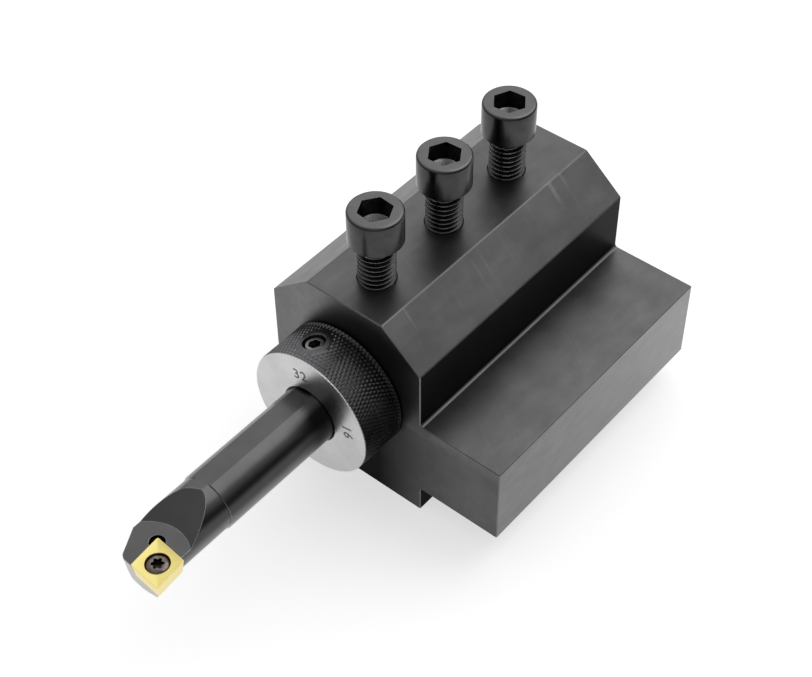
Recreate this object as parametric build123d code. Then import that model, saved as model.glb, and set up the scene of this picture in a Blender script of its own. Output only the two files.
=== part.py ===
from build123d import *
import os
from math import acos, atan2, cos, hypot, radians, sin, tan

# A static holder for an internal boring bar, as bolted into a lathe's tool slot by its square shank.
# The block carries a sleeve in its through bore, the sleeve carries the bar, and the bar an insert.
# Millimetres. +X points from the bore to the shank's outer side, +Y back along the bore, +Z up.
# The origin is the middle of the shank's seat. Pieces are made about the bore axis, with y = 0 at
# the block's front face, and moved to the origin at the end.

# Holder block
block_length = 85.0
shank_width = 25.0
shank_height = 25.0
centre_height = 25.0  # bore axis above the shank's seat
body_width = 48.4
body_top = 28.0  # top face above the bore axis
foot_drop = 8.5  # the body's foot below the shank's seat
shoulder_width = 12.1  # the long bevels beside the top face
shoulder_height = 10.0
corner_fillet = 1.0  # cutter radius left in the shank's inner corners
edge_break = 0.2
bore_diameter = 32.0
bore_lead = 1.0

# Clamp screws, M10 socket heads, in one row along the top
screw_hex_angles = {"front": 55.0, "middle": 4.0, "rear": 6.0}
first_screw = 12.6
screw_spacing = 26.4
screw_diameter = 10.0
screw_length = 25.0
screw_point = 1.1
head_diameter = 14.3
head_height = 9.5
head_chamfer = 0.5
socket_width = 8.0
socket_depth = 5.0
thread_clearance = 0.05
tapped_lead = 0.15
screw_tip_gap = 0.1  # above the high side of the sleeve's flat
drill_point_angle = 118.0  # the drill's cone under each hexagon socket

# Reducing sleeve
sleeve_length = 80.0  # behind the collar
sleeve_clearance = 0.03
sleeve_flat_depth = 1.6
sleeve_flat_start = 4.0
sleeve_lead = 1.0
collar_diameter = 37.0
collar_thickness = 14.2
collar_gap = 0.1  # between the collar and the block's face
collar_chamfer = 0.6
relief_width = 2.0
relief_depth = 0.4
bar_clearance = 0.05
mouth_chamfer = 0.4
sleeve_turn = 12.0  # the loose sleeve stands turned in the block's bore

# Grub screws, M6, in the collar and in the sleeve's flat
grub_diameter = 6.0
grub_socket = 3.0
grub_socket_depth = 3.0
grub_point = 0.8
grub_tip_gap = 0.15
collar_grub_recess = 0.8
sleeve_grub_recess = 0.8

# Boring bar. Its head is measured back from the cutting corner and across from the bar's axis
bar_diameter = 16.0
bar_length = 150.0
bar_overhang = 62.8  # from the collar's face to the cutting corner
bar_turn = 9.4  # the bar stands turned less than its sleeve
bar_flat_depth = 0.6
bar_lead = 1.0
neck_diameter = 15.3  # the head behind the insert
neck_length = 26.4
cutting_offset = 9.7  # cutting corner from the bar's axis
nose_width = 3.5  # the end face's corner on the side away from the insert
nose_corner = 2.0
nose_side_angle = 27.5
nose_corner_angle = 55.0
end_setback = 0.2
end_angle = 7.5
scoop_radius = 17.5
scoop_climb = 33.5
scoop_turn = 7.9
scoop_offset = 5.0
scoop_start = 14.8
toe_length = 8.5  # the support under the insert's outer edge
toe_depth = 1.8
toe_setback = 0.3
toe_angle = 35.0
toe_end_angle = 40.0

# Cutting insert, 80 degree rhombus with 7 degree flanks, and its screw
insert_circle = 9.525
insert_angle = 80.0
insert_thickness = 3.97
insert_clearance_angle = 7.0
insert_corner = 0.4
insert_hole = 4.4
insert_sink = 6.2
insert_sink_depth = 1.6
chip_land = 0.35
chip_depth = 0.3
chip_wall_angle = 45.0
chip_boss = 7.6
lead_angle = 5.0
seat_tilt = 9.5
seat_gap = 0.02
pocket_clearance = 0.05
deck_step = 0.15  # the deck round the insert lies this far below its edge
corner_relief = 4.1
corner_relief_step = 1.2  # the relief's centre from the pocket's inner corner
relief_depth_below = 1.0
pocket_reach = 6.0  # how far the pocket runs out past the insert
insert_screw_diameter = 3.5
insert_screw_length = 7.6
insert_screw_recess = 0.45  # below the insert's top
insert_screw_rim = 0.2
lobe_circle = 2.5
lobe_diameter = 0.85
lobe_depth = 1.6
head_clearance = 0.08

bore_radius = bore_diameter / 2
sleeve_radius = bore_radius - sleeve_clearance
sleeve_flat_height = bore_radius - sleeve_flat_depth
bar_radius = bar_diameter / 2
bar_flat_height = bar_radius - bar_flat_depth
collar_front = -(collar_gap + collar_thickness)
collar_middle = collar_front + collar_thickness / 2
nose_y = collar_front - bar_overhang
insert_side = insert_circle / sin(radians(insert_angle))
cutter_span = 4 * bar_diameter
cut_over = 1.0  # how far a cutter runs out past the face that it opens

# Turned about the bore with the loose sleeve and with the bar in it
sleeve_place = Rot(0, -sleeve_turn, 0)
bar_place = Rot(0, -bar_turn, 0)
# From the bar's own frame to the insert: origin at the cutting corner, x along the front edge,
# y back along the bar, z square to the insert's top
seat = Pos(cutting_offset, nose_y, 0) * Rot(0, seat_tilt, 0) * Rot(0, 0, -lead_angle)
# From the bore to the origin at the shank's seat
to_origin = Pos(-(shank_width + body_width) / 2, -block_length / 2, centre_height)


def lathe_y(points):
    """Turn a profile of (y, radius) points about the bore axis."""
    outline = Polyline(*[(radius, y) for y, radius in points], close=True)
    return revolve(make_face(outline), Axis.Y)


def lathe_z(points):
    """Turn a profile of (radius, z) points about a screw's axis."""
    outline = Polyline(*[(radius, 0, z) for radius, z in points], close=True)
    return revolve(make_face(outline), Axis.Z)


def hex_socket(width, depth, top, angle):
    """The keyway of a socket screw, with the cone that its drill leaves."""
    key = Pos(0, 0, top - depth) * extrude(RegularPolygon(width / 2, 6, major_radius=False), depth)
    cone = width / 2 / tan(radians(drill_point_angle / 2))
    drill = Pos(0, 0, top - depth) * lathe_z([(0, -cone), (width / 2, 0), (0, 0)])
    return Rot(0, 0, angle) * (key + drill)


def screw_places():
    return {name: first_screw + i * screw_spacing for i, name in enumerate(screw_hex_angles)}


def grub_places():
    """Sleeve grub screws stand halfway between the clamp screws."""
    places = list(screw_places().values())
    gaps = zip(places, places[1:])
    return {name: (near + far) / 2 for name, (near, far) in zip(["front", "rear"], gaps)}


def is_at(edge, x, z):
    centre = edge.center()
    return hypot(centre.X - x, centre.Z - z) < edge_break / 2


def holder_block():
    half = body_width / 2
    seat_z = -centre_height
    ledge_z = seat_z + shank_height
    foot_z = seat_z - foot_drop
    shank_x = half + shank_width
    outline = Polyline(
        (-half, 0, foot_z),
        (half, 0, foot_z),
        (half, 0, seat_z),
        (shank_x, 0, seat_z),
        (shank_x, 0, ledge_z),
        (half, 0, ledge_z),
        (half, 0, body_top - shoulder_height),
        (half - shoulder_width, 0, body_top),
        (shoulder_width - half, 0, body_top),
        (-half, 0, body_top - shoulder_height),
        close=True,
    )
    block = extrude(make_face(outline), block_length, dir=(0, 1, 0))
    corners = block.edges().filter_by(Axis.Y)
    inner = [e for e in corners if is_at(e, half, seat_z) or is_at(e, half, ledge_z)]
    outer = [e for e in corners if e not in inner]
    block = chamfer(outer, edge_break)
    corners = block.edges().filter_by(Axis.Y)
    inner = [e for e in corners if is_at(e, half, seat_z) or is_at(e, half, ledge_z)]
    block = fillet(inner, corner_fillet)
    ends = block.faces().filter_by(Axis.Y)
    block = chamfer(ends.edges(), edge_break)
    bore = lathe_y(
        [
            (0, 0),
            (0, bore_radius + bore_lead),
            (bore_lead, bore_radius),
            (block_length - bore_lead, bore_radius),
            (block_length, bore_radius + bore_lead),
            (block_length, 0),
        ]
    )
    block -= bore
    hole_radius = screw_diameter / 2
    hole_top = body_top + cut_over
    for y in screw_places().values():
        hole = lathe_z(
            [
                (0, 0),
                (hole_radius, 0),
                (hole_radius, body_top - tapped_lead),
                (hole_radius + tapped_lead, body_top),
                (hole_radius + tapped_lead, hole_top),
                (0, hole_top),
            ]
        )
        block -= Pos(0, y, 0) * hole
    return block


def clamp_screw(angle):
    """Socket head screw with its axis on Z and z = 0 at its point."""
    radius = screw_diameter / 2 - thread_clearance
    head = head_diameter / 2
    top = screw_length + head_height
    body = lathe_z(
        [
            (0, 0),
            (radius - screw_point, 0),
            (radius, screw_point),
            (radius, screw_length),
            (head - edge_break, screw_length),
            (head, screw_length + edge_break),
            (head, top - head_chamfer),
            (head - head_chamfer, top),
            (0, top),
        ]
    )
    return body - hex_socket(socket_width, socket_depth, top, angle)


def clamp_screw_tip():
    """Height of the screw points: just clear of the turned flat's high side."""
    point_radius = screw_diameter / 2 - thread_clearance - screw_point
    turn = radians(sleeve_turn)
    high_side = (sleeve_flat_height + point_radius * sin(turn)) / cos(turn)
    return high_side + screw_tip_gap


def reducing_sleeve():
    collar = collar_diameter / 2
    inner = bar_radius + bar_clearance
    back = -collar_gap
    end = back + sleeve_length
    body = lathe_y(
        [
            (collar_front, inner + mouth_chamfer),
            (collar_front, collar - collar_chamfer),
            (collar_front + collar_chamfer, collar),
            (back - collar_chamfer, collar),
            (back, collar - collar_chamfer),
            (back, sleeve_radius - relief_depth),
            (back + relief_width, sleeve_radius - relief_depth),
            (back + relief_width, sleeve_radius),
            (end - sleeve_lead, sleeve_radius),
            (end, sleeve_radius - sleeve_lead),
            (end, inner + mouth_chamfer),
            (end - mouth_chamfer, inner),
            (collar_front + mouth_chamfer, inner),
        ]
    )
    flat_length = end - sleeve_flat_start
    flat = Box(bore_diameter, flat_length, bore_radius, align=(Align.CENTER, Align.MIN, Align.MIN))
    body -= Pos(0, sleeve_flat_start, sleeve_flat_height) * flat
    hole = Cylinder(grub_diameter / 2, collar, align=(Align.CENTER, Align.CENTER, Align.MIN))
    for y in [collar_middle, *grub_places().values()]:
        body -= Pos(0, y, 0) * hole
    return sleeve_place * body


def grub_screw(length):
    """Headless socket screw with its axis on Z and z = 0 at its point."""
    radius = grub_diameter / 2 - thread_clearance
    body = lathe_z(
        [
            (0, 0),
            (radius - grub_point, 0),
            (radius, grub_point),
            (radius, length - edge_break),
            (radius - edge_break, length),
            (0, length),
        ]
    )
    return body - hex_socket(grub_socket, grub_socket_depth, length, 0)


def placed_grub(y, surface, recess):
    """A grub screw from just above the bar's flat to its recess in the sleeve."""
    tip = bar_flat_height + grub_tip_gap
    return sleeve_place * Pos(0, y, tip) * grub_screw(surface - recess - tip)


def insert_outline(inset=0.0):
    """The rhombus of the insert's top, with its cutting corner at the origin."""
    lean = radians(insert_angle)
    back = (-insert_side * cos(lean), insert_side * sin(lean))
    far = (back[0] - insert_side, back[1])
    rhombus = make_face(Polyline((0, 0), back, far, (-insert_side, 0), close=True))
    rounded = fillet(rhombus.vertices(), insert_corner)
    return offset(rounded, -inset, kind=Kind.INTERSECTION) if inset else rounded


def insert_centre():
    lean = radians(insert_angle)
    return (-insert_side * (1 + cos(lean)) / 2, insert_side * sin(lean) / 2)


def toe():
    """The wedge under the insert's outer edge, its lower face tangent to the head."""
    flank = insert_thickness * tan(radians(insert_clearance_angle))
    heel = seat * Pos(-flank - toe_setback, 0, -insert_thickness - seat_gap)
    heel_x = heel.position.X
    heel_z = heel.position.Z
    knee_x = heel_x - toe_depth * tan(radians(toe_angle))
    knee_z = heel_z - toe_depth
    radius = neck_diameter / 2
    touch = atan2(knee_z, knee_x) - acos(radius / hypot(knee_x, knee_z))
    outline = Polyline(
        (0, 0, 0),
        (heel_x, 0, heel_z),
        (knee_x, 0, knee_z),
        (radius * cos(touch), 0, radius * sin(touch)),
        close=True,
    )
    beside_insert = (-sin(radians(lead_angle)), cos(radians(lead_angle)), 0)
    wedge = Pos(0, nose_y, 0) * extrude(make_face(outline), toe_length, dir=beside_insert)
    behind = Box(cutter_span, cutter_span, cutter_span, align=(Align.CENTER, Align.MIN, Align.CENTER))
    return wedge - Pos(0, nose_y + toe_length, heel_z) * Rot(-toe_end_angle, 0, 0) * behind


def scoop():
    """The hollow behind the insert, milled along a line that climbs to the bar's flat."""
    foot_z = (cutting_offset - scoop_offset) * tan(radians(seat_tilt))
    foot = Pos(scoop_offset, nose_y + scoop_start, foot_z)
    climbing = Rot(0, 0, -scoop_turn) * Rot(scoop_climb, 0, 0)
    cutter = Cylinder(scoop_radius, 2 * cutter_span, rotation=(90, 0, 0))
    above = Box(
        cutter_span, 2 * cutter_span, cutter_span, align=(Align.CENTER, Align.CENTER, Align.MIN)
    )
    return (foot * climbing * Pos(0, 0, scoop_radius) * cutter) & (seat * Pos(0, 0, -deck_step) * above)


def pocket():
    """The insert's seat: two walls that follow its flanks, open to the front and the side."""
    lean = radians(insert_angle)
    along = Vector(1, 0, 0)
    ahead = Vector(cos(lean), -sin(lean), 0)
    inner = (along + ahead) * -(insert_side + pocket_clearance / sin(lean))
    reach = insert_side + pocket_reach
    rim = Polyline(
        inner,
        inner + along * reach,
        inner + (along + ahead) * reach,
        inner + ahead * reach,
        close=True,
    )
    depth = insert_thickness + seat_gap
    relief = Cylinder(
        corner_relief / 2,
        depth + relief_depth_below,
        align=(Align.CENTER, Align.CENTER, Align.MAX),
    )
    hole = Cylinder(
        insert_screw_diameter / 2, 2 * bar_diameter, align=(Align.CENTER, Align.CENTER, Align.MAX)
    )
    cut = extrude(make_face(rim), -depth, taper=insert_clearance_angle)
    cut += Pos(inner + (along + ahead).normalized() * corner_relief_step) * relief
    cut += Pos(*insert_centre()) * hole
    return seat * cut


def boring_bar():
    neck_y = nose_y + neck_length
    neck = neck_diameter / 2
    end_y = nose_y + bar_length
    bar = lathe_y(
        [
            (nose_y, 0),
            (nose_y, neck),
            (neck_y, neck),
            (neck_y, bar_radius),
            (end_y - bar_lead, bar_radius),
            (end_y, bar_radius - bar_lead),
            (end_y, 0),
        ]
    )
    flat = Box(cutter_span, bar_length, bar_radius, align=(Align.CENTER, Align.MIN, Align.MIN))
    bar -= Pos(0, nose_y, bar_flat_height) * flat
    bar += toe()
    bar -= scoop()
    bar -= pocket()

    # The end face leans back under the insert's front flank, and the far corner is bevelled twice
    front = Box(cutter_span, cutter_span, cutter_span, align=(Align.CENTER, Align.MAX, Align.CENTER))
    bar -= seat * Pos(0, end_setback, 0) * Rot(end_angle, 0, 0) * front
    beside = Box(cutter_span, cutter_span, cutter_span, align=(Align.MAX, Align.CENTER, Align.CENTER))
    for angle in (nose_side_angle, nose_corner_angle):
        bar -= Pos(-nose_width, nose_y + nose_corner, 0) * Rot(0, 0, angle) * beside
    return bar_place * bar


def cutting_insert():
    body = extrude(insert_outline(), -insert_thickness, taper=insert_clearance_angle)
    centre = Pos(*insert_centre())
    groove = extrude(insert_outline(chip_land), -chip_depth, taper=chip_wall_angle)
    boss_foot = chip_boss / 2 + chip_depth
    boss = lathe_z([(0, -chip_depth), (boss_foot, -chip_depth), (chip_boss / 2, 0), (0, 0)])
    body -= groove - centre * boss
    hole = lathe_z(
        [
            (0, 0),
            (insert_sink / 2, 0),
            (insert_hole / 2, -insert_sink_depth),
            (insert_hole / 2, -insert_thickness),
            (0, -insert_thickness),
        ]
    )
    body -= centre * hole
    return bar_place * seat * body


def insert_screw():
    """Countersunk lobe-drive screw, seated in the insert's sink."""
    rim = -insert_screw_recess
    radius = insert_screw_diameter / 2 - thread_clearance
    throat = insert_hole / 2 - head_clearance
    slope = (insert_sink - insert_hole) / 2 / insert_sink_depth
    cone_top = insert_screw_recess + insert_screw_rim
    head = insert_sink / 2 - head_clearance - slope * cone_top
    throat_end = -insert_sink_depth - (throat - radius)
    tip = rim - insert_screw_length
    body = lathe_z(
        [
            (0, rim),
            (head - insert_screw_rim / 2, rim),
            (head, rim - insert_screw_rim / 2),
            (head, -cone_top),
            (throat, -insert_sink_depth),
            (radius, throat_end),
            (radius, tip + insert_screw_rim),
            (radius - insert_screw_rim, tip),
            (0, tip),
        ]
    )
    lobes = Circle(lobe_circle / 2)
    for i in range(6):
        lobes += Rot(0, 0, 60 * i) * Pos(lobe_circle / 2, 0) * Circle(lobe_diameter / 2)
    body -= Pos(0, 0, rim - lobe_depth) * extrude(lobes, lobe_depth)
    return bar_place * seat * Pos(*insert_centre()) * body


pieces = {"holder_block": holder_block()}
for name, y in screw_places().items():
    screw = clamp_screw(screw_hex_angles[name])
    pieces["clamp_screw_" + name] = Pos(0, y, clamp_screw_tip()) * screw
pieces["reducing_sleeve"] = reducing_sleeve()
collar_surface = collar_diameter / 2
pieces["collar_grub_screw"] = placed_grub(collar_middle, collar_surface, collar_grub_recess)
for name, y in grub_places().items():
    pieces["sleeve_grub_screw_" + name] = placed_grub(y, sleeve_flat_height, sleeve_grub_recess)
pieces["boring_bar"] = boring_bar()
pieces["cutting_insert"] = cutting_insert()
pieces["insert_screw"] = insert_screw()

os.makedirs("parts", exist_ok=True)
for node, piece in pieces.items():
    export_step(to_origin * piece, "parts/" + node + ".step")
print("Wrote", len(pieces), "pieces")
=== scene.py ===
# %% [markdown]
# A static holder for a boring bar, dressed for a picture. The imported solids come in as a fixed
# frame, in metres, and nothing in them is moved. The block and the bar already have their real
# shape, so they only get a finish. The screws, the sleeve and the insert carry fine forms, such as
# threads, a knurl and a chip-breaker, so each of them is built again here and stands for its solid.

# %% Load the frame
import math
from math import cos, pi, radians, sin, tan

import bmesh
import bpy
from mathutils import Matrix, Vector


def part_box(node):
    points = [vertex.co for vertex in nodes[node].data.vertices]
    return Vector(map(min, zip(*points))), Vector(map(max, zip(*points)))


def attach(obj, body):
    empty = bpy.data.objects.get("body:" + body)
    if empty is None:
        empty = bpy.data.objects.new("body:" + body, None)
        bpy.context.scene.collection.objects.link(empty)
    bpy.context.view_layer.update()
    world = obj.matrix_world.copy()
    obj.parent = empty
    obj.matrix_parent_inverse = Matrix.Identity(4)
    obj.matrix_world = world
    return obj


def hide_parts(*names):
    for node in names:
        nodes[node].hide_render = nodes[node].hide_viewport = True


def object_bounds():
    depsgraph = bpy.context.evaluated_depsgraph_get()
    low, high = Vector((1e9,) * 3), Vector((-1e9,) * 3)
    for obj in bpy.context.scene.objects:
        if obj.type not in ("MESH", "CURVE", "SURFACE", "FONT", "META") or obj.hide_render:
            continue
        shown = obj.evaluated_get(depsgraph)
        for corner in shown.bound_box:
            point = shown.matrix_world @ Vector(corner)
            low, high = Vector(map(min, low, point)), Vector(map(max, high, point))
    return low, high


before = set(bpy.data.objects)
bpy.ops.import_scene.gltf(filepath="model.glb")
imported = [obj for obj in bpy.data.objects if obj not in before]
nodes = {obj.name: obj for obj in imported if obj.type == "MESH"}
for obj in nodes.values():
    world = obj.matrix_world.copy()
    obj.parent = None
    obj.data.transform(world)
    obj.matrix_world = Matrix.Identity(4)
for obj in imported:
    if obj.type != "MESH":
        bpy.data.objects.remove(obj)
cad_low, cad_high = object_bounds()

mm = 0.001
print("CAD box in mm:", [round(v / mm, 1) for v in (*cad_low, *cad_high)])

# %% [markdown]
# Most places are read from the solids. The bore's axis runs along Y, and its height and side are the
# middle of the collar's box. The clamp screws stand on the same axis, and the shank's top face lies
# level with it.

# %% Find the bore and the collar
sleeve_low, sleeve_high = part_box("reducing_sleeve")
bore_x = (sleeve_low.x + sleeve_high.x) / 2
bore_z = (sleeve_low.z + sleeve_high.z) / 2
collar_radius = (sleeve_high.x - sleeve_low.x) / 2 / mm
collar_face = sleeve_low.y
shank_top = bore_z
body_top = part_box("holder_block")[1].z
front_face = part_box("holder_block")[0].y
print("bore at", round(bore_x / mm, 2), round(bore_z / mm, 2), "collar radius", round(collar_radius, 2))

# %% [markdown]
# New pieces are drawn in millimetres about the Z axis and moved into place at the end. Most of them
# are turned parts, so one helper spins a profile of radius and height. The spin joins its last step
# to its first, and the points on the axis are merged afterwards.

# %% Helpers that make and place a mesh
def turned(profile, steps=96, closed=False):
    """Spin a profile of (radius, height) points about the Z axis."""
    made = bmesh.new()
    points = [made.verts.new((radius, 0, height)) for radius, height in profile]
    pairs = list(zip(points, points[1:])) + ([(points[-1], points[0])] if closed else [])
    lines = [made.edges.new(pair) for pair in pairs]
    bmesh.ops.spin(
        made, geom=points + lines, cent=(0, 0, 0), axis=(0, 0, 1),
        angle=2 * pi, steps=steps, use_merge=True, use_duplicate=False,
    )
    bmesh.ops.remove_doubles(made, verts=made.verts, dist=1e-4)
    bmesh.ops.recalc_face_normals(made, faces=made.faces)
    return made


def prism(outline, low, high):
    """A flat outline of (x, y) points drawn up from one height to another."""
    made = bmesh.new()
    base = made.faces.new([made.verts.new((x, y, low)) for x, y in outline])
    grown = bmesh.ops.extrude_face_region(made, geom=[base])["geom"]
    top = [v for v in grown if isinstance(v, bmesh.types.BMVert)]
    bmesh.ops.translate(made, verts=top, vec=(0, 0, high - low))
    bmesh.ops.recalc_face_normals(made, faces=made.faces)
    return made


def polygon(sides, radius, angle=0.0):
    turns = [angle + 2 * pi * i / sides for i in range(sides)]
    return [(radius * cos(turn), radius * sin(turn)) for turn in turns]


def placed(made, name, place, smooth=30.0):
    """Turn a bmesh in millimetres into an object whose place is in its mesh."""
    bmesh.ops.scale(made, verts=made.verts, vec=(mm, mm, mm))
    bmesh.ops.transform(made, verts=made.verts, matrix=place)
    mesh = bpy.data.meshes.new(name)
    made.to_mesh(mesh)
    made.free()
    mesh.shade_smooth()
    mesh.set_sharp_from_angle(angle=radians(smooth))
    piece = bpy.data.objects.new(name, mesh)
    bpy.context.scene.collection.objects.link(piece)
    return piece


def cut(piece, made, place, smooth=30.0):
    """Cut a bmesh in millimetres out of a piece and keep the result as its mesh."""
    cutter = placed(made, piece.name + "_cutter", place)
    modifier = piece.modifiers.new("cut", "BOOLEAN")
    modifier.operation = "DIFFERENCE"
    modifier.solver = "EXACT"
    modifier.object = cutter
    graph = bpy.context.evaluated_depsgraph_get()
    mesh = bpy.data.meshes.new_from_object(piece.evaluated_get(graph))
    piece.modifiers.clear()
    piece.data = mesh
    bpy.data.objects.remove(cutter)
    mesh.shade_smooth()
    mesh.set_sharp_from_angle(angle=radians(smooth))

# %% [markdown]
# A thread is one tooth's profile, swept round the axis while it climbs by the pitch each turn. The
# spin operator does both at once: its offset lifts each step a little. The sweep starts below the
# rod and ends above it, and two planes cut it flat. The point is turned to a cone after that, so the
# thread runs out there as it does on a real screw.

# %% A threaded rod
thread_steps = 48
thread_depth = 0.6134  # of the pitch


def threaded_rod(radius, pitch, low, high, point):
    """A rod with an external metric thread, in millimetres, with a cone at its lower end."""
    root = radius - thread_depth * pitch
    profile = [(root, 0), (radius, 5 / 16), (radius, 7 / 16), (root, 12 / 16), (root, 1)]
    made = bmesh.new()
    points = [made.verts.new((r, 0, low + (h - 1) * pitch)) for r, h in profile]
    lines = [made.edges.new(pair) for pair in zip(points, points[1:])]
    turns = math.ceil((high - low) / pitch) + 1
    bmesh.ops.spin(
        made, geom=points + lines, cent=(0, 0, 0), axis=(0, 0, 1), dvec=(0, 0, pitch / thread_steps),
        angle=2 * pi * turns, steps=thread_steps * turns, use_merge=False, use_duplicate=False,
    )
    bmesh.ops.remove_doubles(made, verts=made.verts, dist=1e-4)
    for height, side in ((low, -1), (high, 1)):
        everything = made.verts[:] + made.edges[:] + made.faces[:]
        bmesh.ops.bisect_plane(
            made, geom=everything, plane_co=(0, 0, height), plane_no=(0, 0, side), clear_outer=True
        )
    bmesh.ops.holes_fill(made, edges=[e for e in made.edges if e.is_boundary], sides=0)
    for vert in made.verts:
        reach = vert.co.xy.length
        limit = radius - point + (vert.co.z - low)
        if reach > limit:
            vert.co.xy *= limit / reach
    bmesh.ops.recalc_face_normals(made, faces=made.faces)
    return made

# %% [markdown]
# A finish is a node material. One function adds a node, sets its properties and fills its sockets
# with a value or with another node's output. Colours are written as sRGB hex values, as a paint
# chart gives them, and turned to linear light in one place.

# %% Colours and nodes
def linear(code):
    """An sRGB hex colour as linear RGBA."""
    parts = [int(code[i : i + 2], 16) / 255 for i in (0, 2, 4)]
    light = [c / 12.92 if c <= 0.04045 else ((c + 0.055) / 1.055) ** 2.4 for c in parts]
    return (*light, 1)


def plug(finish, socket, value):
    """Link a node's output to a socket, or set the socket to a plain value."""
    if isinstance(value, bpy.types.NodeSocket):
        finish.node_tree.links.new(value, socket)
    else:
        socket.default_value = value


def add(finish, kind, settings={}, **sockets):
    """Add a node. A socket's name is written with _ for a space, or as i0, i1 for its number."""
    made = finish.node_tree.nodes.new("ShaderNode" + kind)
    for name, value in settings.items():
        setattr(made, name, value)
    for name, value in sockets.items():
        numbered = name[0] == "i" and name[1:].isdigit()
        plug(finish, made.inputs[int(name[1:]) if numbered else name.replace("_", " ")], value)
    return made

# %% [markdown]
# A pattern or a place becomes a share between 0 and 1 by a range, and one colour is laid over
# another by the product of such shares.

# %% Shares and layers of colour
def share(finish, *ranges):
    """The product of ranges. Each is (value, low, high), mapped to 0 and 1 and held at its ends, or
    has two more numbers to map to instead."""
    product = None
    for value, low, high, *ends in ranges:
        at_low, at_high = ends or (0, 1)
        part = add(
            finish, "MapRange", Value=value, From_Min=low, From_Max=high, To_Min=at_low, To_Max=at_high
        ).outputs[0]
        if product is not None:
            part = add(finish, "Math", {"operation": "MULTIPLY"}, i0=product, i1=part).outputs[0]
        product = part
    return product


def lay(finish, tone, code, *ranges):
    """Lay a colour over a tone by the share that the ranges give."""
    mix = add(finish, "Mix", {"data_type": "RGBA"}, i0=share(finish, *ranges), i6=tone, i7=linear(code))
    return mix.outputs[2]


def graded(finish, value, stops, interpolation="LINEAR"):
    """Map a value through a row of (value, result) stops."""
    low, high = stops[0][0], stops[-1][0]
    made = add(finish, "ValToRGB", Fac=share(finish, (value, low, high)))
    made.color_ramp.interpolation = interpolation
    positions = [(place - low) / (high - low) for place, result in stops]
    for position in positions[1:-1]:
        made.color_ramp.elements.new(position)
    for element, position, (place, result) in zip(made.color_ramp.elements, positions, stops):
        element.position = position
        element.color = (result, result, result, 1)
    return made.outputs["Color"]

# %% [markdown]
# Every finish here is a metal. It starts from its shader and its object coordinates, and it ends
# with a colour, a roughness and a fine relief.

# %% Start and end a finish
def new_finish(name, roughness, colour):
    """A metal with its Principled shader, and the object coordinates in metres."""
    finish = bpy.data.materials.new(name)
    finish.use_nodes = True
    finish.diffuse_color = linear(colour)
    shader = finish.node_tree.nodes["Principled BSDF"]
    shader.inputs["Metallic"].default_value = 1.0
    shader.inputs["Roughness"].default_value = roughness
    shader.inputs["Base Color"].default_value = linear(colour)
    place = add(finish, "TexCoord").outputs["Object"]
    return finish, shader, place


def dress(finish, shader, tone, rough, height, depth, normal=None):
    """Give a shader its colour, its roughness and a bump of some depth in millimetres."""
    under = {} if normal is None else {"Normal": normal}
    relief = add(finish, "Bump", Height=height, Distance=depth * mm, Strength=1.0, **under)
    for name, value in (("Base Color", tone), ("Roughness", rough), ("Normal", relief.outputs[0])):
        plug(finish, shader.inputs[name], value)

# %% [markdown]
# Three things tell one part of a surface from another: a noise with lumps of a known size, the way
# the surface faces, and how near it is to an edge.

# %% Patterns
def noise(finish, place, size, detail=3.0, stretch=(1, 1, 1)):
    """Noise whose lumps are about one size in millimetres, stretched along the axes."""
    scaled = add(finish, "VectorMath", {"operation": "MULTIPLY"}, i0=place, i1=stretch)
    texture = add(finish, "TexNoise", Vector=scaled.outputs[0], Scale=1 / (size * mm), Detail=detail)
    return texture.outputs[0]


one_way = {"noise_dimensions": "1D"}  # noise that changes along one coordinate only


def facing(finish):
    """The X, Y and Z of the way a surface faces."""
    return add(finish, "SeparateXYZ", Vector=add(finish, "NewGeometry").outputs["Normal"]).outputs


def edge_wear(finish, width):
    """1 on edges and 0 on flats: how far the rounded normal leans from the true one."""
    rounded = add(finish, "Bevel", {"samples": 6}, Radius=width * mm).outputs[0]
    true = add(finish, "NewGeometry").outputs["Normal"]
    lean = add(finish, "VectorMath", {"operation": "DOT_PRODUCT"}, i0=rounded, i1=true)
    return share(finish, (lean.outputs["Value"], 0.995, 0.93)), rounded

# %% [markdown]
# The block is milled tool steel with a hot black oxide: a dark conversion layer that follows the
# cutter marks and keeps a satin gloss. A face mill leaves long faint arcs across each face, about a
# millimetre apart, and a few coarser strokes by the right bevel's upper edge. Handling polishes the
# oxide off the edges, so they show as thin bright lines. Faces that look right get a painted
# reflection that grows lighter towards the back, and the walls above and below the shank are then
# painted near black as shade. The front face gets a painted shade round the sleeve and in a run
# below it, deepest there and fading towards the shank. Under all painted shade the specular tint is
# lowered, which dims the grazing reflection.

# %% Black oxide on milled steel
cutter_radius = 40 * mm
feed_marks = 0.9
chatter_marks = 2.6
painted_shade_tone = "141415"
# Across from the bore's axis in millimetres, and the share of painted shade there
front_shade_run = ((-24, 0), (-10, 0.9), (10, 0.9), (25, 0.5), (40, 0.3))
front_shade_middle = Vector((bore_x, front_face, bore_z)) + Vector((7, 0, 4)) * mm


def face_mill_arcs(finish, position):
    """A coordinate that counts the arcs of a face mill fed along Y."""
    across = add(finish, "Math", {"operation": "ADD"}, i0=position["X"], i1=position["Z"]).outputs[0]
    square = add(finish, "Math", {"operation": "MULTIPLY"}, i0=across, i1=across).outputs[0]
    bow = add(finish, "Math", {"operation": "DIVIDE"}, i0=square, i1=2 * cutter_radius).outputs[0]
    return add(finish, "Math", {"operation": "ADD"}, i0=position["Y"], i1=bow).outputs[0]


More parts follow.
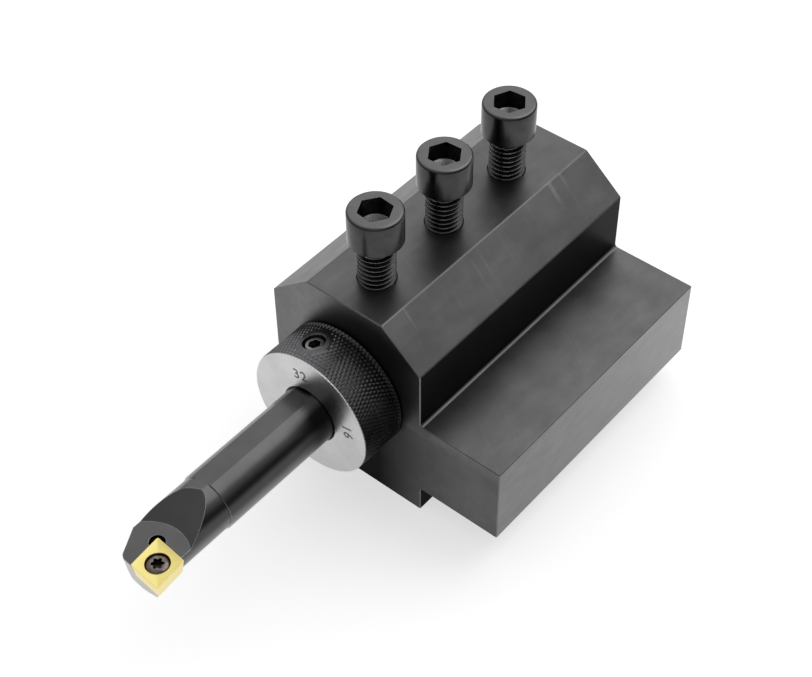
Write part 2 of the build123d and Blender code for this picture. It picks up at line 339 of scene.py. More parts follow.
def painted_shade_on_front(finish, place, position, faces):
    """The share of painted shade on the front face: a round patch by the collar and a run below it."""
    from_middle = add(finish, "VectorMath", {"operation": "DISTANCE"}, i0=place, i1=front_shade_middle)
    to_front = (faces["Y"], -0.8, -0.95)
    patch = share(finish, (from_middle.outputs["Value"], 20.5 * mm, 24 * mm, 0.45, 0), to_front)
    stops = [(bore_x + across * mm, shade_share) for across, shade_share in front_shade_run]
    run = graded(finish, position["X"], stops)
    run = share(finish, (run, 0, 1), (position["Z"], bore_z + 2 * mm, bore_z - 4 * mm), to_front)
    return add(finish, "Math", {"operation": "MAXIMUM"}, i0=patch, i1=run).outputs[0]


def black_oxide_milled():
    finish, shader, place = new_finish("black_oxide_milled_steel", 0.38, "6c6c6c")
    position = add(finish, "SeparateXYZ", Vector=place).outputs
    faces = facing(finish)
    level = position["Z"]
    arcs = face_mill_arcs(finish, position)
    feed = add(finish, "TexNoise", one_way, W=arcs, Scale=1 / (feed_marks * mm), Detail=4.0).outputs[0]
    chatter = add(finish, "TexNoise", one_way, W=arcs, Scale=1 / (chatter_marks * mm), Detail=2.0)
    chatter = chatter.outputs[0]
    cloud = noise(finish, place, 12, 4.0)
    smear = noise(finish, place, 2.5, 4.0, (1, 0.35, 1))
    grain = noise(finish, place, 0.35, 2.0)
    worn, rounded = edge_wear(finish, 0.22)
    tone = lay(finish, linear("666666"), "727272", (cloud, 0.35, 0.65))
    tone = lay(finish, tone, "5c5c5c", (smear, 0.4, 0.7, 0, 0.25))

    bevel = add(finish, "Math", {"operation": "MINIMUM"}, i0=faces["X"], i1=faces["Z"]).outputs[0]
    by_edge = (level, body_top - 6.5 * mm, body_top - 3 * mm, 0.15, 1)
    tone = lay(
        finish, tone, "a2a2a3", (chatter, 0.6, 0.7, 0, 0.3), (cloud, 0.42, 0.6), (bevel, 0.3, 0.5), by_edge
    )
    tone = lay(finish, tone, "9a9a9c", (feed, 0.64, 0.78, 0, 0.08))

    to_right = (faces["X"], 0.8, 0.95)
    # Painted reflection: faces that look right grow lighter towards the back.
    tone = lay(finish, tone, "8e8e8e", to_right, (position["Y"], -30 * mm, 40 * mm, 0.2, 0.8))
    # Painted shade: the walls that face right above and below the shank go near black.
    above = share(finish, to_right, (level, shank_top, shank_top + 0.5 * mm, 0, 0.9))
    below = share(finish, to_right, (level, 0, -0.5 * mm, 0, 0.97))
    side_wall_shade = add(finish, "Math", {"operation": "MAXIMUM"}, i0=above, i1=below).outputs[0]
    tone = lay(finish, tone, "303031", (side_wall_shade, 0, 1))

    # Painted shade on the front face, round the collar and in a run below it.
    shade_share = painted_shade_on_front(finish, place, position, faces)
    tone = lay(finish, tone, painted_shade_tone, (shade_share, 0, 1))
    # The specular tint is lowered under the painted shade, which dims its grazing reflection.
    shade_for_tint = add(finish, "Math", {"operation": "MAXIMUM"}, i0=shade_share, i1=side_wall_shade).outputs[0]
    plug(finish, shader.inputs["Specular Tint"], lay(finish, linear("ffffff"), "a0a0a0", (shade_for_tint, 0, 1)))
    upper_edges = (level, shank_top - 1 * mm, shank_top + 3 * mm, 0.08, 0.32)
    tone = lay(finish, tone, "c4c4c4", (worn, 0, 1), upper_edges)

    satin = share(finish, (cloud, 0.3, 0.7, 0.35, 0.4))
    uneven = share(finish, (smear, 0.3, 0.7, -0.03, 0.03))
    rough = add(finish, "Math", {"operation": "ADD"}, i0=satin, i1=uneven).outputs[0]
    height = add(finish, "Mix", Factor=0.4, i2=feed, i3=grain).outputs[0]
    dress(finish, shader, tone, rough, height, 0.0025, rounded)
    return finish

# %% [markdown]
# The screws are the same steel and oxide, but cold-headed and rolled, so they are smoother. A little
# oil in the oxide gives them a deeper gloss than the block. Faces that look up are painted lighter
# and walls darker, as painted light and shade. The crests of a thread rub on the tapped hole and wear
# bright, so the threads have the same finish with more wear.

# %% Black oxide on screws
def black_oxide_screw(name, wear, wall, upper, stain=0.3):
    """The tones are of a wall, painted in shade, and of a face that looks up, painted lit. Stain is the
    share of darker spots.
    """
    finish, shader, place = new_finish(name, 0.24, wall)
    cloud = noise(finish, place, 3, 4.0)
    grain = noise(finish, place, 0.25, 3.0)
    worn, rounded = edge_wear(finish, 0.14)
    # Painted light and shade: faces that look up get the lighter tone, walls the darker one.
    tone = lay(finish, linear(wall), upper, (facing(finish)["Z"], 0.6, 0.95))
    tone = lay(finish, tone, "5c5c5c", (cloud, 0.35, 0.65, 0, stain))
    tone = lay(finish, tone, "4c4c4c", (grain, 0.62, 0.75, 0, stain))
    tone = lay(finish, tone, "d0d0d0", (worn, 0, 1, 0, wear))
    dress(finish, shader, tone, share(finish, (cloud, 0.3, 0.7, 0.2, 0.28)), grain, 0.003, rounded)
    return finish

# %% [markdown]
# The sleeve is blackened all over and then its collar's face is turned clean, so the face and its
# edge are bare bright steel with fine circles from the tool. The knurl gets a painted shade, darker towards
# the right.

# %% Bright turned steel and black knurl
turning_marks = 0.12
# Across from the bore's axis in millimetres, and the share of painted shade there
knurl_shade_run = ((-9, 0), (5, 0.5), (17, 0.88))


def bright_turned():
    finish, shader, place = new_finish("bright_turned_steel", 0.28, "c8c8ca")
    flat = add(finish, "VectorMath", {"operation": "MULTIPLY"}, i0=place, i1=(1, 0, 1)).outputs[0]
    axis = (bore_x, 0, bore_z)
    reach = add(finish, "VectorMath", {"operation": "DISTANCE"}, i0=flat, i1=axis).outputs["Value"]
    rings = add(finish, "TexNoise", one_way, W=reach, Scale=1 / (turning_marks * mm), Detail=3.0).outputs[0]
    tone = lay(finish, linear("bcbcbc"), "c8c7c7", (noise(finish, place, 6), 0.3, 0.7))
    dress(finish, shader, tone, share(finish, (rings, 0.3, 0.7, 0.24, 0.34)), rings, 0.002)
    return finish


def black_knurl():
    finish, shader, place = new_finish("black_oxide_knurled_steel", 0.3, "666668")
    cloud = noise(finish, place, 3)
    tone = lay(finish, linear("6a6a6c"), "78787a", (cloud, 0.3, 0.7))
    across = add(finish, "SeparateXYZ", Vector=place).outputs["X"]
    stops = [(bore_x + beside * mm, shade_share) for beside, shade_share in knurl_shade_run]
    # Painted shade: the knurl darkens towards the right.
    tone = lay(finish, tone, painted_shade_tone, (graded(finish, across, stops), 0, 1))
    worn = edge_wear(finish, 0.12)[0]
    tone = lay(finish, tone, "b4b4b6", (worn, 0, 1, 0, 0.5))
    rough = share(finish, (cloud, 0.3, 0.7, 0.25, 0.33))
    dress(finish, shader, tone, rough, noise(finish, place, 0.15, 2.0), 0.003)
    return finish

# %% [markdown]
# The bar is turned along its length, so its marks are circles about its own axis: a noise that only
# changes along Y. The oxide is a little glossier than the block's. A painted shade darkens it by the
# collar, and a painted dark reflection lies as a band along its right side. The end face is ground
# after the blackening and is lighter, so the finish changes where the surface faces along the axis.
# Only the edges of the head, near the insert, are handled enough to be bright.

# %% Black oxide on the turned bar
head_end = -93.5 * mm
dark_band_normal = Vector((0.927, 0, 0.375))


def black_oxide_turned():
    finish, shader, place = new_finish("black_oxide_turned_steel", 0.26, "6e6e70")
    circles = noise(finish, place, 0.7, 3.0, (0.02, 4.0, 0.02))
    worn, rounded = edge_wear(finish, 0.22)
    position = add(finish, "SeparateXYZ", Vector=place).outputs
    tone = lay(finish, linear("606060"), "666666", (noise(finish, place, 7), 0.35, 0.65))
    # Painted shade by the collar, and a painted dark reflection as a band along the right side.
    shade_by_collar = share(
        finish, (position["Y"], collar_face - 13 * mm, collar_face - 5 * mm, 0, 0.87),
        (position["X"], bore_x + 3.2 * mm, bore_x + 4.8 * mm),
    )
    normal = add(finish, "NewGeometry").outputs["Normal"]
    to_side = add(finish, "VectorMath", {"operation": "DOT_PRODUCT"}, i0=normal, i1=dark_band_normal)
    dark_band = share(finish, (to_side.outputs["Value"], 0.93, 0.98, 0, 0.55))
    shade_share = add(finish, "Math", {"operation": "MAXIMUM"}, i0=shade_by_collar, i1=dark_band).outputs[0]
    tone = lay(finish, tone, painted_shade_tone, (shade_share, 0, 1))
    handled = (position["Y"], head_end - 1.5 * mm, head_end, 0.75, 0.06)
    tone = lay(finish, tone, "dcdcdc", (worn, 0, 1), handled)
    tone = lay(finish, tone, "b0aea9", (facing(finish)["Y"], -0.75, -0.85, 0, 0.85))
    dress(finish, shader, tone, share(finish, (circles, 0.3, 0.7, 0.25, 0.27)), circles, 0.0005, rounded)
    return finish

# %% [markdown]
# The insert is carbide with a gold titanium nitride coating, a few thousandths of a millimetre
# thick. It is metallic, and it shows the ground grain of the carbide below as a fine speckle. The
# coating is paler on the ground flanks. The insert's screw has a dark bronze phosphate. The same
# finish in darker tones is painted shade in the screw's recess and on the insert's seat round the
# screw head. The size numbers are etched dark.

# %% Gold coating, bronze screw and the marks
def gold_coating():
    finish, shader, place = new_finish("titanium_nitride_coating", 0.45, "feee98")
    cloud = noise(finish, place, 2.5)
    worn, rounded = edge_wear(finish, 0.12)
    tone = lay(finish, linear("fdeb90"), "fff2a0", (cloud, 0.35, 0.65))
    tone = lay(finish, tone, "f6e4c4", (facing(finish)["Z"], 0.5, 0.3, 0, 0.45))
    tone = lay(finish, tone, "fff6cc", (worn, 0, 1, 0, 0.6))
    rough = share(finish, (cloud, 0.3, 0.7, 0.42, 0.5))
    dress(finish, shader, tone, rough, noise(finish, place, 0.12, 2.0), 0.003, rounded)
    return finish


def bronze_phosphate(name, dark, light, roughness):
    finish, shader, place = new_finish(name, roughness, dark)
    cloud = noise(finish, place, 0.8)
    worn, rounded = edge_wear(finish, 0.1)
    tone = lay(finish, linear(dark), light, (cloud, 0.35, 0.65))
    tone = lay(finish, tone, "c8b4ac", (worn, 0, 1, 0, 0.4))
    rough = share(finish, (cloud, 0.3, 0.7, roughness - 0.04, roughness + 0.04))
    dress(finish, shader, tone, rough, noise(finish, place, 0.1, 2.0), 0.002, rounded)
    return finish


def etched_mark():
    roughness = 0.55
    finish, shader, place = new_finish("etched_dark_mark", roughness, "747476")
    cloud = noise(finish, place, 0.4)
    tone = lay(finish, linear("66666a"), "88888a", (cloud, 0.3, 0.7))
    dress(finish, shader, tone, roughness, cloud, 0.004)
    return finish

# %% [markdown]
# Each finish is made once, and every piece of its kind wears it.

# %% Make the finishes
block_finish = black_oxide_milled()
screw_finish = black_oxide_screw("black_oxide_rolled_steel", 0.2, "404040", "6f6f6f")
thread_finish = black_oxide_screw("black_oxide_worn_thread", 0.85, "363636", "404040")
grub_finish = black_oxide_screw("black_oxide_grub_screw", 0.8, "484848", "909090")
# The socket's walls are painted near black as shade.
socket_shade_finish = black_oxide_screw("socket_wall_painted_shade", 0.0, "2e2e2f", "343435")
# The drill cone is painted nearly white as a highlight.
drill_highlight_finish = black_oxide_screw("drill_cone_painted_highlight", 0.0, "e8e8e8", "f4f4f4", 0.08)
face_finish = bright_turned()
knurl_finish = black_knurl()
bar_finish = black_oxide_turned()
gold_finish = gold_coating()
bronze_finish = bronze_phosphate("bronze_phosphate_steel", "6e6460", "857a74", 0.18)
# The screw's recess is painted dark as shade.
recess_shade_finish = bronze_phosphate("recess_painted_shade", "2c2a26", "3a3733", 0.3)
# The insert's seat round the screw head is painted dark as shade.
seat_shade_finish = bronze_phosphate("screw_seat_painted_shade", "5a4420", "6b5228", 0.35)
mark_finish = etched_mark()
print("finishes:", [m.name for m in bpy.data.materials if m.use_nodes])

# %% [markdown]
# The block and the bar keep their solids. Their object has one material slot, which takes the
# finish.

# %% Dress the block and the bar
for name, finish in (("holder_block", block_finish), ("boring_bar", bar_finish)):
    mesh = nodes[name].data
    mesh.materials.clear()
    mesh.materials.append(finish)
    print(name, "wears", finish.name)

# %% [markdown]
# Each clamp screw is an M10 socket screw, 1.5 mm of pitch, with a smooth round head. Its body is the
# threaded rod, its head is a turned shape, and the socket is a hexagon prism with the cone of its
# drill, cut out of the head. Its walls are painted near black as shade, and the cone at the bottom is
# painted nearly white as a highlight. The three sockets stand at different angles, as they were left.

# %% Clamp screws
socket_angles = {"front": 55.0, "middle": 4.0, "rear": 6.0}
head_height = 9.5
socket_width = 8.0
socket_depth = 5.0
socket_reach = 1.16 * socket_width / 2  # just past the hexagon's corners
drill_slope = tan(radians(118 / 2))
thread_radius = 4.95
thread_pitch = 1.5
thread_point = 1.1
plain_neck = 2.6  # between the thread and the head
neck_radius = 4.93


def socket_cutter(width, depth, top, angle):
    """A hexagon prism to cut a socket with, and the cone of the drill under it."""
    corner = width / 2 / cos(pi / 6)
    key = prism(polygon(6, corner, radians(angle)), top - depth, top + 1)
    floor_height = top - depth
    cone_outline = [
        (0, floor_height - width / 2 / drill_slope), (width / 2, floor_height), (0, floor_height + 0.5),
    ]
    return key, turned(cone_outline, 48)


def clamp_screw(which):
    low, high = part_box("clamp_screw_" + which)
    centre = Vector(((low.x + high.x) / 2, (low.y + high.y) / 2, low.z))
    place = Matrix.Translation(centre)
    length = (high.z - low.z) / mm
    neck = length - head_height
    head_radius = (high.x - low.x) / 2 / mm
    thread_end = neck - plain_neck
    thread = threaded_rod(thread_radius, thread_pitch, 0, thread_end, thread_point)
    rod = placed(thread, "clamp_screw_thread_" + which, place, 40)
    shape = [
        (0, thread_end), (4.3, thread_end), (neck_radius, thread_end + 0.6), (neck_radius, neck - 0.4),
        (5.3, neck), (head_radius - 0.35, neck), (head_radius, neck + 0.35), (head_radius, length - 0.75),
        (head_radius - 0.12, length - 0.36), (head_radius - 0.4, length - 0.1), (head_radius - 0.8, length),
        (0, length),
    ]
    head = placed(turned(shape), "clamp_screw_head_" + which, place, 35)
    for cutter in socket_cutter(socket_width, socket_depth, length, socket_angles[which]):
        cut(head, cutter, place, 35)
    rod.data.materials.append(thread_finish)
    head.data.materials.clear()
    for finish in (screw_finish, socket_shade_finish, drill_highlight_finish):
        head.data.materials.append(finish)
    # Socket walls take the painted shade, and the drill cone takes the painted highlight.
    for face in head.data.polygons:
        depth = (high.z - face.center.z) / mm
        within = (face.center - centre).xy.length < socket_reach * mm
        if within and 0.02 < depth < head_height:
            face.material_index = 1 if depth < socket_depth + 0.01 else 2
    for piece in (rod, head):
        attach(piece, which + "_screw")
    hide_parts("clamp_screw_" + which)
    faces = [len(piece.data.polygons) for piece in (rod, head)]
    print("clamp screw", which, "faces of thread and head:", faces)


for which in socket_angles:
    clamp_screw(which)

# %% [markdown]
# The sleeve is one turned shape with a knurled collar. The knurl is two sets of grooves that cross
# each other at 30 degrees from the axis, and it leaves a field of small blunt diamonds. The collar's
# band gets four steps to a diamond each way, and every point of it is lowered by its distance from
# the nearest groove. It runs out over the front edge, which gets teeth, and a ring round the grub
# screw's hole stays smooth.

# %% Reducing sleeve
knurl_pitch = 1.15
knurl_rise = 2.2
knurl_depth = 0.32
knurl_steps = 4
collar_thickness = 14.2
sleeve_turn = radians(12.0)
sleeve_radius = 15.97
sleeve_bore = 8.05
grub_hole = 3.0
smooth_ring = 4.2
knurl_count = round(2 * pi * collar_radius / knurl_pitch)
sleeve_length = (sleeve_high.y - sleeve_low.y) / mm
sleeve_place = Matrix.Translation((bore_x, collar_face, bore_z)) @ Matrix.Rotation(-pi / 2, 4, "X")
# About the sleeve's own Z, which runs back along the bore, local -Y is up
up_angle = -pi / 2


def groove_distance(turn, height):
    """0 in a groove and 1 on top of a diamond."""
    around = turn * knurl_count / (2 * pi)
    along = height / knurl_rise
    one = abs((around + along) % 1 - 0.5)
    other = abs((around - along) % 1 - 0.5)
    return 1 - 2 * max(one, other)


def knurled_sleeve():
    back = collar_thickness
    band_low, band_high = 0.4, back - 0.5
    rows = round((band_high - band_low) / knurl_rise * knurl_steps)
    band = [(collar_radius, band_low + (band_high - band_low) * i / rows) for i in range(rows + 1)]
    shape = [
        (sleeve_bore, 0.4), (sleeve_bore + 0.4, 0), (collar_radius - 0.55, 0), (collar_radius - 0.2, 0.12),
        *band,
        (collar_radius - 0.5, back), (sleeve_radius - 0.4, back), (sleeve_radius - 0.4, back + 2),
        (sleeve_radius, back + 2.2), (sleeve_radius, sleeve_length - 1), (sleeve_radius - 1, sleeve_length),
        (sleeve_bore + 0.4, sleeve_length), (sleeve_bore, sleeve_length - 0.4),
    ]
    made = turned(shape, knurl_count * knurl_steps, closed=True)
    middle = back / 2
    for vert in made.verts:
        reach = vert.co.xy.length
        if reach < collar_radius - 0.01 or not band_low - 0.01 < vert.co.z < band_high + 0.01:
            continue
        turn = math.atan2(vert.co.y, vert.co.x)
        from_hole = math.hypot((turn - up_angle + sleeve_turn) * collar_radius, vert.co.z - middle)
        smooth = min(max((from_hole - smooth_ring) / 0.6, 0), 1)
        inside = min(max((band_high - vert.co.z) / 0.3, 0), 1)
        sink = 1 - min(groove_distance(turn, vert.co.z) / 0.8, 1)
        vert.co.xy *= 1 - knurl_depth * sink * smooth * inside / reach
    return made


sleeve = placed(knurled_sleeve(), "knurled_sleeve", sleeve_place, 25)
print("knurl of", knurl_count, "grooves;", len(sleeve.data.polygons), "faces")

# %% [markdown]
# The sleeve's flat and its three screw holes are cut out afterwards. The flat faces the clamp
# screws, and the loose sleeve stands turned by 12 degrees in its bore.

# %% Holes and flat of the sleeve
sleeve_flat_height = 14.4
sleeve_flat_start = 18.2
past_collar = 20.0  # how far out the cutting pieces reach
drill_length = 25.0
turned_sleeve = Matrix.Translation((bore_x, 0, bore_z)) @ Matrix.Rotation(-sleeve_turn, 4, "Y")


def hole_places():
    """Heights along the bore of the sleeve's three screw holes, in metres."""
    names = ("collar_grub_screw", "sleeve_grub_screw_front", "sleeve_grub_screw_rear")
    boxes = [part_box(name) for name in names]
    return [(low.y + high.y) / 2 for low, high in boxes]


flat_low = collar_face / mm + sleeve_flat_start
flat_high = sleeve_high.y / mm + 1
flat_corners = ((-1, flat_low), (1, flat_low), (1, flat_high), (-1, flat_high))
flat_outline = [(side * past_collar, y) for side, y in flat_corners]
flat_box = prism(flat_outline, sleeve_flat_height, past_collar)
cut(sleeve, flat_box, turned_sleeve, 25)
for y in hole_places():
    drill = turned([(0, 0), (grub_hole, 0), (grub_hole, drill_length), (0, drill_length)], 48)
    cut(sleeve, drill, turned_sleeve @ Matrix.Translation((0, y, 0)), 25)
lead_radius = grub_hole + 0.25
lead_outline = [
    (0, 18.1), (grub_hole, 18.2), (lead_radius, 18.5), (lead_radius, past_collar), (0, past_collar),
]
lead = turned(lead_outline, 48)
cut(sleeve, lead, turned_sleeve @ Matrix.Translation((0, hole_places()[0], 0)), 25)
sleeve.data.materials.clear()
for finish in (knurl_finish, face_finish):
    sleeve.data.materials.append(finish)
for face in sleeve.data.polygons:
    reach = math.hypot(face.center.x - bore_x, face.center.z - bore_z) / mm
    in_front = face.center.y < collar_face + 0.3 * mm
    face.material_index = 1 if in_front and reach > sleeve_bore + 0.1 else 0
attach(sleeve, "sleeve")
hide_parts("reducing_sleeve")
print("sleeve:", len(sleeve.data.polygons), "faces,", len(sleeve.data.vertices), "points")

# %% [markdown]
# The collar's face carries its two sizes: 32 for the sleeve's outside and 16 for its bore. They are
# etched and read clockwise with their tops outward. Text is made a mesh before it is placed, and
# each figure is a thin body sunk into the face.

# %% Size numbers on the collar
def size_number(text, angle, reach, height):
    """A number on the collar's face, centred at an angle from the top and a distance from the axis."""
    curve = bpy.data.curves.new("size_" + text, "FONT")
    curve.body = text
    curve.size = height / 0.7
    curve.align_x = "CENTER"
    curve.extrude = 0.03
    curve.offset = 0.05
    curve.space_character = 1.15
    source = bpy.data.objects.new("size_" + text, curve)
    bpy.context.scene.collection.objects.link(source)
    bpy.context.view_layer.update()
    made = bmesh.new()
    made.from_mesh(bpy.data.meshes.new_from_object(source))
    bpy.data.objects.remove(source)
    bmesh.ops.remove_doubles(made, verts=made.verts, dist=1e-4)
    bmesh.ops.translate(made, verts=made.verts, vec=(0, reach - height / 2, 0))
    standing = Matrix.Rotation(pi / 2, 4, "X")
    around = Matrix.Rotation(radians(angle), 4, "Y")
    place = Matrix.Translation((bore_x, collar_face, bore_z)) @ around @ standing
    piece = placed(made, "size_number_" + text, place)
    piece.data.materials.append(mark_finish)
    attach(piece, "sleeve")
    return piece


for text, angle in (("32", -11.0), ("16", 80.0)):
    number = size_number(text, angle, 12.9, 3.0)
    print("number", text, len(number.data.polygons), "faces")

# %% [markdown]
# Each grub screw is an M6 threaded rod with a hexagon socket 3 mm wide. Its top edge is a cone, so a
# bright ring shows round the socket.

# %% Grub screws
grub_radius = 2.95
grub_pitch = 1.0
grub_point = 0.8
grub_cone = 0.6
grub_socket_width = 3.0
long_grub = 5.0  # only a longer one takes the full socket


def grub_screw(name, body):
    low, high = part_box(name)
    middle_y = (low.y + high.y) / 2
    outward = Vector((-sin(sleeve_turn), 0, cos(sleeve_turn)))
    points = [Vector((v.co.x - bore_x, 0, v.co.z - bore_z)) for v in nodes[name].data.vertices]
    reaches = [point.dot(outward) for point in points]
    tip, top = min(reaches) / mm, max(reaches) / mm
    place = turned_sleeve @ Matrix.Translation((0, middle_y, 0))
    rod = threaded_rod(grub_radius, grub_pitch, tip, top, grub_point)
    for vert in rod.verts:
        reach = vert.co.xy.length
        limit = grub_radius - grub_cone + (top - vert.co.z)
        if reach > limit:
            vert.co.xy *= limit / reach
    piece = placed(rod, name + "_threaded", place, 40)
    depth = 3.0 if top - tip > long_grub else 2.5
    for cutter in socket_cutter(grub_socket_width, depth, top, 0):
        cut(piece, cutter, place, 40)
    piece.data.materials.clear()
    piece.data.materials.append(grub_finish)
    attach(piece, body)
    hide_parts(name)
    print(name, "from", round(tip, 2), "to", round(top, 2), "mm from the bore's axis")


grub_screw("collar_grub_screw", "collar_grub")
grub_screw("sleeve_grub_screw_front", "front_grub")
grub_screw("sleeve_grub_screw_rear", "rear_grub")

# %% [markdown]
# The insert starts as one rhombus with rounded corners. Its walls lean in by 7 degrees towards the
# bottom, which is a scaled copy of the outline, because a rhombus drawn round a circle keeps its
# edges parallel when it is scaled. The chip-breaker is a row of rings in the top face: a narrow
# land, a short slope down and a long shallow one, which meet in creases at the corners.

# %% Cutting insert
insert_circle = 9.525
insert_angle = radians(80)
insert_thickness = 3.97
insert_lean = radians(7)
insert_corner = 0.4
insert_sink = 6.2
insert_hole = 4.4
sink_depth = 1.6
cutting_offset = 9.7
bar_turn = radians(9.4)
seat_tilt = radians(9.5)
lead_angle = radians(5)
nose_y = -119.4
insert_side = insert_circle / sin(insert_angle)
insert_middle = Vector((-insert_side * (1 + cos(insert_angle)) / 2, insert_side * sin(insert_angle) / 2, 0))
seat_place = (
    Matrix.Translation((bore_x, 0, bore_z))
    @ Matrix.Rotation(-bar_turn, 4, "Y")
    @ Matrix.Scale(mm, 4)
    @ Matrix.Translation((cutting_offset, nose_y, 0))
    @ Matrix.Rotation(seat_tilt, 4, "Y")
    @ Matrix.Rotation(-lead_angle, 4, "Z")
    @ Matrix.Scale(1 / mm, 4)
)
chip_breaker = ((0.14, 0.0), (0.5, -0.13), (2.0, -0.17))


def rounded_rhombus(made):
    along = Vector((-insert_side, 0, 0))
    back = Vector((-insert_side * cos(insert_angle), insert_side * sin(insert_angle), 0))
    corners = [made.verts.new(v) for v in (Vector(), back, back + along, along)]
    made.faces.new(corners)
    for first, half in ((0, insert_angle / 2), (1, pi / 2 - insert_angle / 2)):
        bmesh.ops.bevel(
            made, geom=corners[first::2], offset=insert_corner / tan(half), offset_type="OFFSET",
            affect="VERTICES", segments=5, profile=0.5, material=-1,
        )
    return made.faces[:][0]


def next_ring(made, ring, reach, width, rise):
    """Draw a ring of edges up, and pull it in by one width on every side. Return the new ring."""
    grown = bmesh.ops.extrude_edge_only(made, edges=ring)["geom"]
    points = {v for v in grown if isinstance(v, bmesh.types.BMVert)}
    shrink = 1 - width / reach
    about = Matrix.Translation(-insert_middle)
    bmesh.ops.scale(made, verts=list(points), vec=(shrink, shrink, 1), space=about)
    bmesh.ops.translate(made, verts=list(points), vec=(0, 0, rise))
    return [e for e in grown if isinstance(e, bmesh.types.BMEdge) and points.issuperset(e.verts)]


def insert_body():
    made = bmesh.new()
    reach = insert_circle / 2
    outline = rounded_rhombus(made)
    ring = list(outline.edges)
    bmesh.ops.delete(made, geom=[outline], context="FACES_ONLY")
    next_ring(made, ring, reach, insert_thickness * tan(insert_lean), -insert_thickness)
    for width, rise in chip_breaker:
        ring = next_ring(made, ring, reach, width, rise)
        reach -= width
    bmesh.ops.holes_fill(made, edges=[e for e in made.edges if e.is_boundary], sides=0)
    bmesh.ops.recalc_face_normals(made, faces=made.faces)
    print("insert closed:", all(e.is_manifold for e in made.edges), "rings:", len(chip_breaker) + 2)
    return made


insert = placed(insert_body(), "chipbreaker_insert", seat_place, 12)
hole = turned(
    [
        (0, 1), (insert_sink / 2, 1), (insert_sink / 2, -0.6), (insert_sink / 2 - 0.15, -1.0),
        (insert_hole / 2, -sink_depth), (insert_hole / 2, -insert_thickness - 1), (0, -insert_thickness - 1),
    ],
    72,
)
insert_axis = seat_place @ Matrix.Translation(insert_middle * mm)
cut(insert, hole, insert_axis, 12)
insert.data.materials.clear()
# The hole's wall round the screw head takes the seat finish, a painted shade.
for finish in (gold_finish, seat_shade_finish):
    insert.data.materials.append(finish)
into_insert = insert_axis.inverted()
for face in insert.data.polygons:
    middle = into_insert @ face.center / mm
    within = middle.xy.length < insert_sink / 2 - 0.01
    face.material_index = 1 if within and -insert_thickness + 0.05 < middle.z < -0.25 else 0
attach(insert, "insert")
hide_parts("cutting_insert")
solid_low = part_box("cutting_insert")[0]
made_low = Vector(map(min, zip(*(v.co for v in insert.data.vertices))))
print("insert stands off its solid by mm:", [round(v / mm, 3) for v in made_low - solid_low])

# %% [markdown]
# The insert's screw has a countersunk head with a domed rim and a six-lobe recess. The recess is a
# circle whose radius swings six times a turn, drawn up as a prism and cut out of the head. Its walls
# are painted darker as shade. The shank is an M3.5 thread.

# %% Insert screw
lobe_middle = 1.44
lobe_swing = 0.25
lobe_turn = radians(66)
lobe_depth = 1.4
head_rim = 2.93
head_top = -0.2
shank_radius = 1.7
shank_pitch = 0.6
shank_low = -8.05


def lobe_outline():
    turns = [2 * pi * i / 96 for i in range(96)]
    reaches = [lobe_middle + lobe_swing * cos(6 * turn + lobe_turn) for turn in turns]
    return [(reach * cos(turn), reach * sin(turn)) for reach, turn in zip(reaches, turns)]


def insert_screw():
    shape = [
        (0, head_top), (1.8, head_top), (2.05, head_top - 0.04), (2.35, head_top - 0.15),
        (2.62, head_top - 0.32), (2.82, head_top - 0.52), (head_rim, head_top - 0.76),
        (2.1, -1.62), (shank_radius, -2.02), (shank_radius, -2.4), (0, -2.4),
    ]
    piece = placed(turned(shape, 72), "lobe_screw_head", insert_axis, 40)
    recess = prism(lobe_outline(), head_top - lobe_depth, 0.5)
    cut(piece, recess, insert_axis, 40)
    thread = threaded_rod(shank_radius, shank_pitch, shank_low, -2.2, 0.3)
    rod = placed(thread, "lobe_screw_thread", insert_axis, 40)
    for made in (piece, rod):
        made.data.materials.clear()
        for finish in (bronze_finish, recess_shade_finish):
            made.data.materials.append(finish)
        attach(made, "insert_screw")
    # The recess walls take the painted shade.
    for face in piece.data.polygons:
        middle = into_insert @ face.center / mm
        in_recess = middle.xy.length < lobe_middle + lobe_swing + 0.05 and -1.9 < middle.z < head_top - 0.05
        face.material_index = 1 if in_recess else 0
    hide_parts("insert_screw")
    print("insert screw:", len(piece.data.polygons), "faces of head,", len(rod.data.polygons), "of thread")


insert_screw()

# %% [markdown]
# The camera stands where the photograph was taken from: to the right and above, looking down along
# the bore. A lens of 74 mm on a 36 mm wide frame gives the same perspective.

# %% Camera
camera_data = bpy.data.cameras.new("camera")
camera_data.sensor_width = 36.0
camera_data.lens = 73.98
camera_data.clip_start = 0.05
camera_data.clip_end = 20.0
camera = bpy.data.objects.new("camera", camera_data)
bpy.context.scene.collection.objects.link(camera)
right = Vector((0.76909, 0.63911, -0.00633))
forward = Vector((-0.44324, 0.52619, -0.72572))
up = right.cross(forward)
look = Matrix((right, up, -forward)).transposed().to_4x4()
camera.matrix_world = Matrix.Translation((0.159183, -0.251494, 0.342285)) @ look
bpy.context.scene.camera = camera
print("camera at", [round(v, 3) for v in camera.location])

# %% [markdown]
# Dark satin steel mirrors its surroundings, so each face shows a part of the floor or of the room.
# The floor is white paper lit by the lamp. It adds a little light of its own to what the camera and
# the metal see, so that it reads as white and still keeps the shadow. A quarter of a metre out it
# starts to fade to grey, outside the picture, so steel that mirrors the horizon is dark.

# %% Floor
paper_middle = (-0.12, 0.07, 0)
white_reach = 0.24
grey_reach = 0.5
paper_glow = 0.58
floor_mesh = bpy.data.meshes.new("floor")
made = bmesh.new()
bmesh.ops.create_grid(made, x_segments=1, y_segments=1, size=6.0)
bmesh.ops.translate(made, verts=made.verts, vec=(0, 0, cad_low.z))
made.to_mesh(floor_mesh)
made.free()
floor = bpy.data.objects.new("floor", floor_mesh)
bpy.context.scene.collection.objects.link(floor)

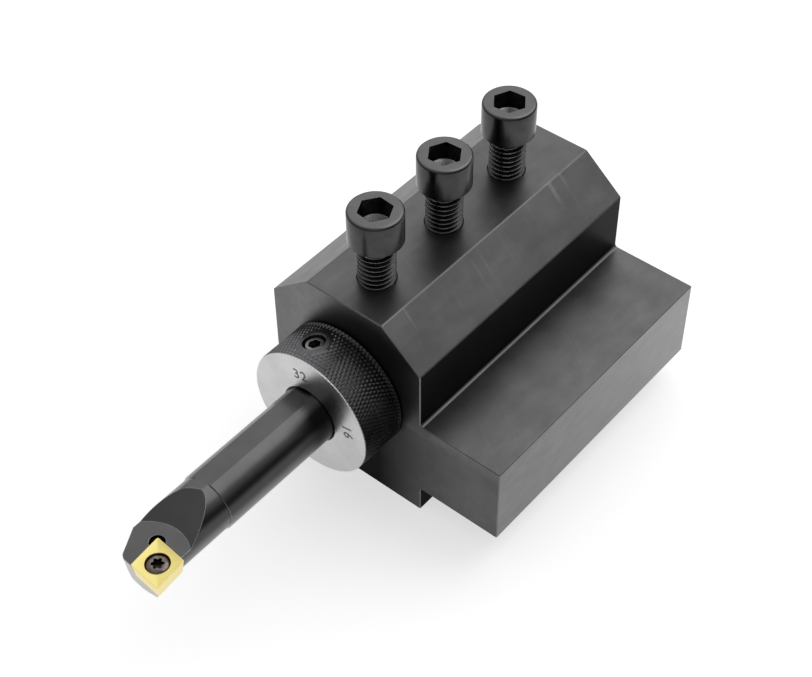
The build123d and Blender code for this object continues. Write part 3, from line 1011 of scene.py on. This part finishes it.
paper = bpy.data.materials.new("white_paper")
paper.use_nodes = True
shader = paper.node_tree.nodes["Principled BSDF"]
shader.inputs["Roughness"].default_value = 0.9
shader.inputs["Specular IOR Level"].default_value = 0.0
sheet = add(paper, "TexCoord").outputs["Object"]
outward = add(paper, "VectorMath", {"operation": "DISTANCE"}, i0=sheet, i1=paper_middle)
lit = share(paper, (outward.outputs["Value"], white_reach, grey_reach, 1, 0.25))
pale = add(paper, "Mix", {"data_type": "RGBA"}, i0=lit, i6=(0.2, 0.2, 0.2, 1), i7=(0.8, 0.8, 0.8, 1))
plug(paper, shader.inputs["Base Color"], pale.outputs[2])
ray = add(paper, "LightPath").outputs
seen = ray["Is Camera Ray"]
for kind in ("Is Glossy Ray", "Is Transmission Ray"):
    seen = add(paper, "Math", {"operation": "MAXIMUM"}, i0=seen, i1=ray[kind]).outputs[0]
glow_strength = share(paper, (seen, 0, 1, 0, paper_glow), (lit, 0, 1))
glow = add(paper, "Emission", Color=(1, 1, 1, 1), Strength=glow_strength)
both = add(paper, "AddShader", i0=shader.outputs[0], i1=glow.outputs[0])
output = paper.node_tree.nodes["Material Output"]
plug(paper, output.inputs["Surface"], both.outputs[0])
floor_mesh.materials.append(paper)
print("paper white to", white_reach, "m and grey from", grey_reach, "m")

# %% [markdown]
# The room is a pale dome. It is brightest behind the holder on the left, and dim low on the right,
# so that round and bevelled steel shades from light to dark. The dome's light is a gradient on the
# angle between the view direction and its bright side, and a weaker one fills in from the camera's
# side. One large softbox hangs above and behind.

# %% Room light
world = bpy.data.worlds.new("studio")
bpy.context.scene.world = world
world.use_nodes = True
sky = world.node_tree.nodes["Background"]
direction = add(world, "TexCoord").outputs["Generated"]
bright_side = Vector((-0.5, 0.55, 0.67)).normalized()
toward = add(world, "VectorMath", {"operation": "DOT_PRODUCT"}, i0=direction, i1=bright_side)
# From straight away from the bright side to straight towards it
stops = ((-1, 0.08), (-0.12, 0.08), (0.06, 0.18), (0.33, 0.4), (0.8, 0.62), (1, 0.98))
dome = graded(world, toward.outputs["Value"], stops, "EASE")
camera_side = Vector((0.25, -0.85, 0.46)).normalized()
near = add(world, "VectorMath", {"operation": "DOT_PRODUCT"}, i0=direction, i1=camera_side)
fill = share(world, (near.outputs["Value"], 0, 0.8, 0, 0.38))
light = add(world, "Math", {"operation": "MAXIMUM"}, i0=dome, i1=fill).outputs[0]
plug(world, sky.inputs["Color"], light)
target = Vector((-0.03, -0.02, 0.03))

lamp_distance = 1.0
lamp_data = bpy.data.lights.new("back_softbox", "AREA")
lamp_data.shape = "SQUARE"
lamp_data.size = 0.9
lamp_data.energy = 2.2
lamp = bpy.data.objects.new("back_softbox", lamp_data)
bpy.context.scene.collection.objects.link(lamp)
away = Vector((0.2, 0.526, 0.82)).normalized()
lamp.location = target + away * lamp_distance
lamp.rotation_mode = "QUATERNION"
lamp.rotation_quaternion = (-away).to_track_quat("-Z", "Y")
print("softbox at", [round(v, 3) for v in lamp.location])

# %% Colour
bpy.context.scene.view_settings.view_transform = "Standard"
